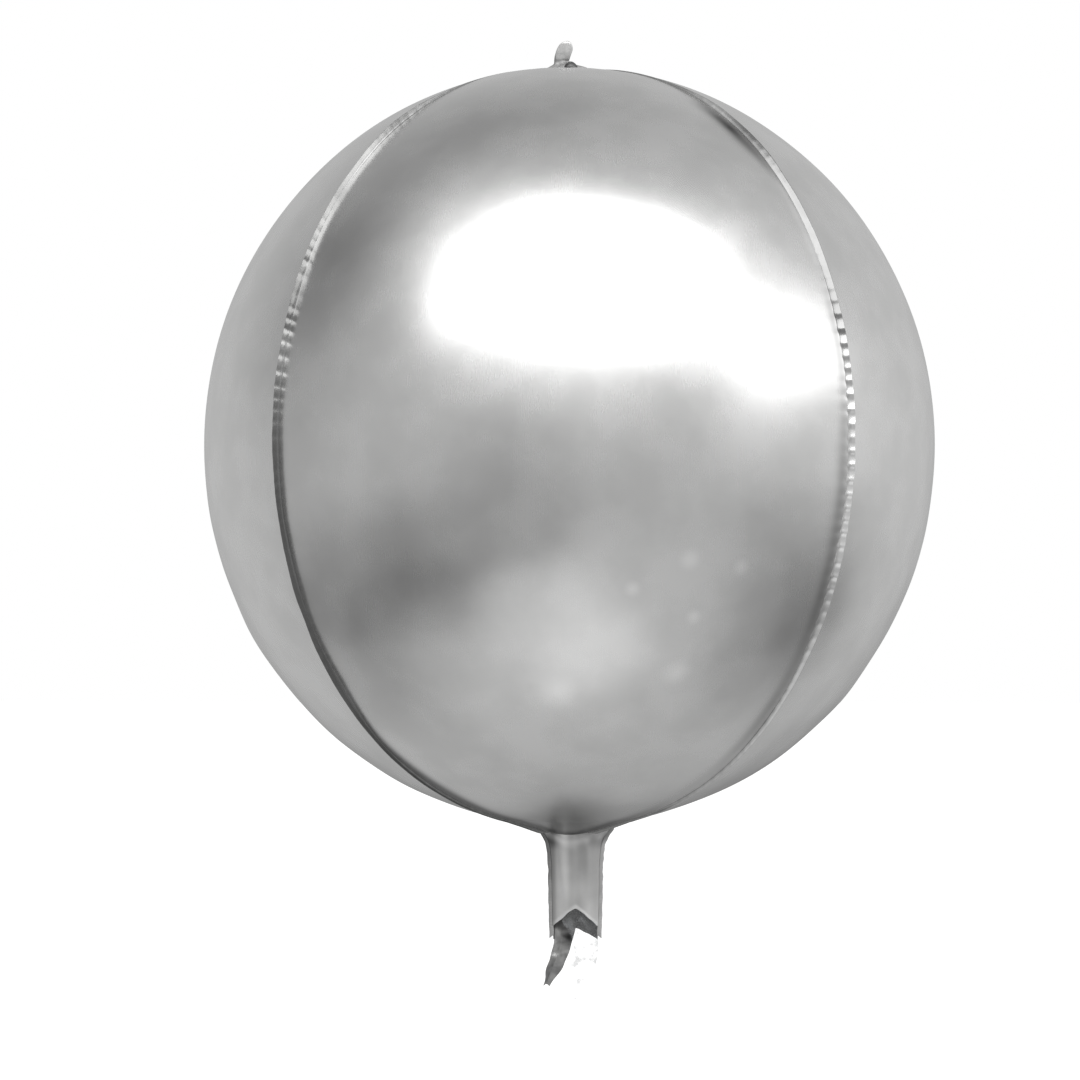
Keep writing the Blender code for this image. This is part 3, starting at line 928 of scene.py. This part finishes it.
# One ply of the neck: from inside the envelope's underside down to a notched end. It opens above like
# a funnel, is flat and creased lengthwise below, and its cut edge turns out a little.
def addPly(name, ply):
    across = np.linspace(-1.0, 1.0, neck["columns"])[None, :]
    down = np.linspace(0.0, 1.0, neck["rows"])[:, None]
    oval = np.sqrt(np.clip(1.0 - across**2, 0.0, 1.0))
    rimDepth = (neck["funnelDepth"] + neck["rimRoom"]) * oval
    rim = np.hypot(neck["middle"] + neck["rimHalfWidth"] * across, rimDepth)
    top = undersideAt(rim) + neck["rimRise"]
    notch = np.sqrt(across**2 + neck["notchSoftness"]) - math.sqrt(neck["notchSoftness"])
    bottom = ply["notch"] + (ply["tip"] - ply["notch"]) * notch
    ragged = wander(across * neck["cutHalfWidth"], neck["ragged"], ply["seed"] + 4)
    z = top + (bottom + ragged - top) * down ** neck["rowPower"]
    x = (stopsAt(z, neck["halfWidths"]) - neck["sealShare"] * seal["width"]) * across
    funnel = np.exp(-(top - z) / neck["funnelReach"])
    folds = neck["evenFolds"] * np.cos(2.0 * math.pi * (x - neck["foldStart"]) / neck["foldPitch"])
    folds = folds + crumpled(x, z * neck["foldSquash"], neck["unevenFolds"], ply["seed"])
    lip = smoothStep(z, bottom + neck["lipReach"], bottom)
    depth = neck["halfGap"] + oval * (neck["bulge"] + neck["funnelDepth"] * funnel)
    depth = depth + ply["fold"] * folds * smoothStep(1.0 - np.abs(across), 0.0, neck["foldFree"])
    depth = depth + neck["lipTurn"] * lip**2 * oval**0.5
    grid = np.stack([neck["middle"] + x, ply["side"] * depth, z], axis=-1)
    tone = toneOfPly(x, z, lip, ply["seed"] + 6)
    obj = addSurface(name, grid, np.stack([x, z], axis=-1), tone, flip=ply["side"] < 0.0)
    return thicken(obj, neck["thickness"], -1.0, 1)


for side, ply in plies.items():
    piece = addPly("neck_sheet_" + side, ply)
    # the plies' inner faces get the near-black foil as painted shade
    finishPiece(piece, [foils["neck"], foils["inside"]], ["neck_" + side + "_ply"])


# Pressed edge of the neck: a flat strip with a rounded section, faintly crimped, along the neck's side,
# with painted shade by height
def addNeckSeal(name, side, seed, paintedShading):
    z = np.linspace(seal["top"], seal["bottom"], seal["rows"])
    outer = stopsAt(z, neck["halfWidths"]) + wander(z, seal["ragged"], seed)
    middle = neck["middle"] + side * (outer - seal["width"] / 2)
    around = np.linspace(0.0, 2.0 * math.pi, seal["columns"], endpoint=False)
    ovalX = np.sign(np.cos(around)) * np.abs(np.cos(around)) ** seal["squareness"]
    ovalY = np.sign(np.sin(around)) * np.abs(np.sin(around)) ** seal["squareness"]
    crimp = seal["crimp"] * np.sin(2.0 * math.pi * z / seal["crimpPitch"])
    crimp = crimp + wander(z, seal["sway"], seed + 1)
    x = middle[:, None] + seal["width"] / 2 * ovalX
    y = crimp[:, None] + seal["halfThickness"] * ovalY
    drop = smoothStep(-z, *seal["corner"])[:, None] * (side * ovalX - 1.0)
    grid = np.stack([x, y, z[:, None] - drop], axis=-1)
    film = np.stack([x, np.broadcast_to(z[:, None], x.shape)], axis=-1)
    return addSurface(name, grid, film, stopsAt(z, paintedShading)[:, None], closed=True, caps=True, flip=True)


for side, sign, seed in (("left", -1.0, 701), ("right", 1.0, 702)):
    piece = addNeckSeal("neck_edge_" + side, sign, seed, seal["paintedShading"][side])
    finishPiece(piece, [foils["neck"]], ["neck_seal_" + side])
print("neck made")


tail = {
    "top": -0.2373,
    "mouth": -0.2568,
    "bottom": -0.2822,
    "left": 0.0062,  # of the neck's middle
    "swing": 0.0093,
    "swingPower": 1.4,
    "tuckShift": 0.0028,
    "halfWidth": 0.0050,
    "narrowing": 0.0033,
    "narrowPower": 2.2,
    "tuckWidth": 0.0014,
    "ragged": (0.0003, 0.012),
    "length": 0.045,
    "looseReach": (0.2440, 0.2560),
    "back": 0.00045,
    "lowBack": 0.0050,
    "fold": 0.0012,  # how deep, and how far off its middle
    "foldAside": 0.2,
    "crumples": [(0.00055, 0.0095), (0.00010, 0.0045)],
    "seed": 811,
    "cornerDrop": 0.0016,
    "thickness": 0.0002,
    "rows": 90,
    "columns": 36,
}


# Painted light and shade on the tail: dark in the mouth and lighter below a slanting line, times a painted
# shade and a painted glint
def toneOfTail(x, z):
    dark, lift = 0.38, 0.77
    slant = 0.09 * (x + 0.0032)
    light = smoothStep(-z, 0.2515, 0.2545 - slant) + smoothStep(-z, 0.2600, 0.2640, 0.15)
    shade = bell(x, -0.0005, 0.0034) * bell(z, -0.2572, 0.0040, 0.85)
    glint = bell(z, -0.2590, 0.0070, 0.60) * smoothStep(-x, 0.0030, 0.0080)
    return (dark + lift * light) * (1.0 - shade) * (1.0 + glint)


# Loose foil tail: hangs from the mouth to the left, folded along its middle and crumpled, ever narrower
def addTail():
    across, down = sheetShares(tail, -1.0)
    z = tail["top"] + (tail["bottom"] - tail["top"]) * down
    hang = progress(z, tail["mouth"], tail["bottom"])
    tuck = progress(z, tail["mouth"], tail["top"])
    middle = neck["middle"] - tail["left"] - tail["swing"] * hang ** tail["swingPower"]
    middle = middle + tail["tuckShift"] * tuck
    halfWidth = tail["halfWidth"] - tail["narrowing"] * hang ** tail["narrowPower"]
    ragged = wander(down * tail["length"], tail["ragged"], tail["seed"])
    x = middle + (halfWidth + tail["tuckWidth"] * tuck + ragged) * across
    loose = smoothStep(-z, *tail["looseReach"])
    fold = tail["fold"] * (np.abs(across + tail["foldAside"]) - 0.5)
    y = tail["back"] + tail["lowBack"] * hang**2 + loose * fold
    y = y + loose * crumpled(x, z, tail["crumples"], tail["seed"] + 1)
    tone = toneOfTail(x, z)
    z = z - tail["cornerDrop"] * np.abs(across) * down**4
    return addSheet("loose_tail", x, y, z, tail["thickness"], tone)


finishPiece(addTail(), [foils["tail"]], ["neck_tail"])


valve = {
    "halfWidth": 0.0108,
    "thickness": 0.00012,
    "gap": 0.00045,  # from the neck's middle plane
    "top": -0.2045,
    "mouth": -0.2400,
    "loose": -0.2608,
    "bottom": -0.2914,
    "looseLeft": 0.0010,  # where its left and its right side hang, and how far to the left its end swings
    "leftSwing": 0.0050,
    "looseRight": 0.0120,
    "rightSwing": 0.0130,
    "bow": 0.0060,
    "bowReach": (0.0, 0.4),
    "cup": 0.0022,
    "crumples": [(0.0008, 0.012), (0.00025, 0.004)],
    "seed": 821,
    "rows": 150,
    "columns": 44,
}
valveBack = {"bottom": -0.2350, "crumples": [(0.00010, 0.009)], "seed": 831, "rows": 40, "columns": 24}


# Front valve film: flat inside the neck, then a clear, curled tongue that hangs out below the mouth
def addValveTongue():
    across, down = sheetShares(valve, 0.0)
    z = valve["top"] + (valve["bottom"] - valve["top"]) * down
    loose = smoothStep(-z, -valve["mouth"], -valve["loose"])
    hang = progress(z, valve["loose"], valve["bottom"])
    left = -valve["halfWidth"] + (valve["halfWidth"] - valve["looseLeft"]) * loose
    left = left - valve["leftSwing"] * hang
    right = valve["halfWidth"] + (valve["looseRight"] - valve["halfWidth"]) * loose
    right = right - valve["rightSwing"] * hang**2
    x = neck["middle"] + left + (right - left) * across
    y = -valve["gap"] - valve["bow"] * np.sin(math.pi * hang) * smoothStep(hang, *valve["bowReach"])
    y = y + loose * crumpled(x, z, valve["crumples"], valve["seed"])
    y = y - loose * valve["cup"] * (2.0 * across - 1.0) ** 2 * hang
    return addSheet("valve_tongue", x, y, z, valve["thickness"])


# Back valve film: stays inside the neck
def addValveBack():
    across, down = sheetShares(valveBack, -1.0)
    x = neck["middle"] + valve["halfWidth"] * across
    z = valve["top"] + (valveBack["bottom"] - valve["top"]) * down
    y = valve["gap"] + crumpled(x, z, valveBack["crumples"], valveBack["seed"])
    return addSheet("valve_back_film", x, y, z, valve["thickness"])


finishPiece(addValveTongue(), [clearFilm], ["valve_film_front"])
finishPiece(addValveBack(), [clearFilm], ["valve_film_back"])
print("tail and valve film made")


# Studio: a plain pale floor, two big softboxes, and round them a dim grey room made of soft patches,
# each an azimuth, an elevation, a width in degrees and how much it adds. What the camera sees is white.
studio = {
    "floorHeight": -0.65,
    "floorHalf": 8.0,
    "floorColour": (0.90, 0.90, 0.895),
    "floorGlow": 0.66,
    "floorRoughness": 0.9,
    "horizon": 0.60,
    "top": 0.50,
    "bottom": 0.56,
    "darkest": 0.02,
    "patches": [
        (-98.0, 38.0, 15.0, -0.33), (-145.0, 62.0, 13.0, -0.14), (-92.0, 6.0, 14.0, -0.12),
        (-89.0, -33.0, 11.0, -0.31), (-106.0, -48.0, 10.0, -0.12), (-58.0, -34.0, 10.0, -0.30),
        (-40.0, -36.0, 8.0, -0.12), (-50.0, -20.0, 9.0, -0.09), (-24.0, -25.0, 8.0, -0.16),
        (-3.0, -20.0, 6.0, -0.14), (70.0, -19.0, 9.0, -0.15), (99.0, -31.0, 13.0, -0.35),
        (90.0, -46.0, 12.0, -0.08), (180.0, 64.0, 20.0, -0.06), (-16.0, -3.0, 8.0, -0.16),
        (0.0, -12.0, 55.0, -0.13), (8.0, -52.0, 13.0, 0.22), (-5.0, -65.0, 16.0, 0.20),
        (175.0, -60.0, 18.0, -0.09), (178.0, -16.0, 16.0, -0.36), (-48.0, 56.0, 12.0, 0.45),
        (-36.0, 38.0, 9.0, 0.22), (6.0, 29.0, 15.0, 0.38), (62.0, 42.0, 13.0, 0.50),
        (62.0, 14.0, 12.0, 0.30), (95.0, 3.0, 12.0, 0.15), (125.0, 5.0, 20.0, 0.06),
    ],
    "softboxes": [  # azimuth, elevation, half its width and height in degrees, brightness and shape
        ("key_softbox", 8.0, 47.0, 41.0, 23.0, 2.3, "ELLIPSE"),
        ("right_softbox", 72.0, 22.0, 22.0, 12.0, 1.0, "ELLIPSE"),
    ],
    "softboxDistance": 2.4,
}


# Floor: one square that glows faintly and isn't mirrored by the foil
def addFloor():
    half = studio["floorHalf"]
    corners = [(-half, -half), (half, -half), (half, half), (-half, half)]
    mesh = bpy.data.meshes.new("pale_floor")
    mesh.from_pydata([(x, y, studio["floorHeight"]) for x, y in corners], [], [(0, 1, 2, 3)])
    floor = addObject("pale_floor", mesh)
    material, wire = newMaterial("pale_floor_look")
    inputs = {
        "Base Color": (*studio["floorColour"], 1.0),
        "Roughness": studio["floorRoughness"],
        "Emission Color": (1.0, 1.0, 1.0, 1.0),
        "Emission Strength": studio["floorGlow"],
    }
    finishMaterial(wire, inputs)
    mesh.materials.append(material)
    floor.visible_glossy = False


# Grey room: a level tone that changes towards top and bottom, and a bell of light or shade per patch
def addRoom():
    world = bpy.data.worlds.new("studio_room")
    world.use_nodes = True
    world.node_tree.nodes.clear()
    bpy.context.scene.world = world
    wire = Wire(world.node_tree)
    towards = wire.node("ShaderNodeTexCoord", {}, {}, "Generated")
    height = wire.node("ShaderNodeSeparateXYZ", {}, {0: towards}, 2)
    above = wire.math("MAXIMUM", height, 0.0)
    beneath = wire.math("MAXIMUM", 0.0 - height, 0.0)
    tone = studio["horizon"] + (studio["top"] - studio["horizon"]) * above
    tone = tone + (studio["bottom"] - studio["horizon"]) * beneath
    for azimuth, elevation, width, amount in studio["patches"]:
        inputs = {0: towards, 1: direction(azimuth, elevation)}
        aligned = wire.node("ShaderNodeVectorMath", {"operation": "DOT_PRODUCT"}, inputs, 1)
        sharpness = 1.0 / math.radians(width) ** 2
        tone = tone + amount * wire.math("EXPONENT", (aligned - 1.0) * sharpness)
    tone = wire.math("MAXIMUM", tone, studio["darkest"])
    room = wire.node("ShaderNodeBackground", {}, {"Color": tone, "Strength": 1.0})
    white = wire.node("ShaderNodeBackground", {}, {"Color": (1.0, 1.0, 1.0, 1.0), "Strength": 1.0})
    seen = wire.node("ShaderNodeLightPath", {}, {}, "Is Camera Ray")
    both = wire.node("ShaderNodeMixShader", {}, {0: seen, 1: room, 2: white})
    wire.node("ShaderNodeOutputWorld", {}, {"Surface": both})


# Softbox: a flat light that faces the origin, given by the angles it covers, its brightness and its shape.
# Its power is brightness times pi times its area.
def addSoftbox(name, azimuth, elevation, halfWidth, halfHeight, brightness, shape):
    light = bpy.data.lights.new(name, "AREA")
    light.shape = shape
    light.size = 2.0 * studio["softboxDistance"] * math.tan(math.radians(halfWidth))
    light.size_y = 2.0 * studio["softboxDistance"] * math.tan(math.radians(halfHeight))
    fill = math.pi / 4 if shape == "ELLIPSE" else 1.0
    light.energy = brightness * math.pi * fill * light.size * light.size_y
    box = addObject(name, light)
    box.location = [studio["softboxDistance"] * value for value in direction(azimuth, elevation)]
    box.rotation_euler = (math.pi / 2 - math.radians(elevation), 0.0, math.radians(azimuth))
    box.visible_camera = False


addFloor()
addRoom()
for softbox in studio["softboxes"]:
    addSoftbox(*softbox)
bpy.context.scene.view_settings.view_transform = "Standard"
print("studio made")
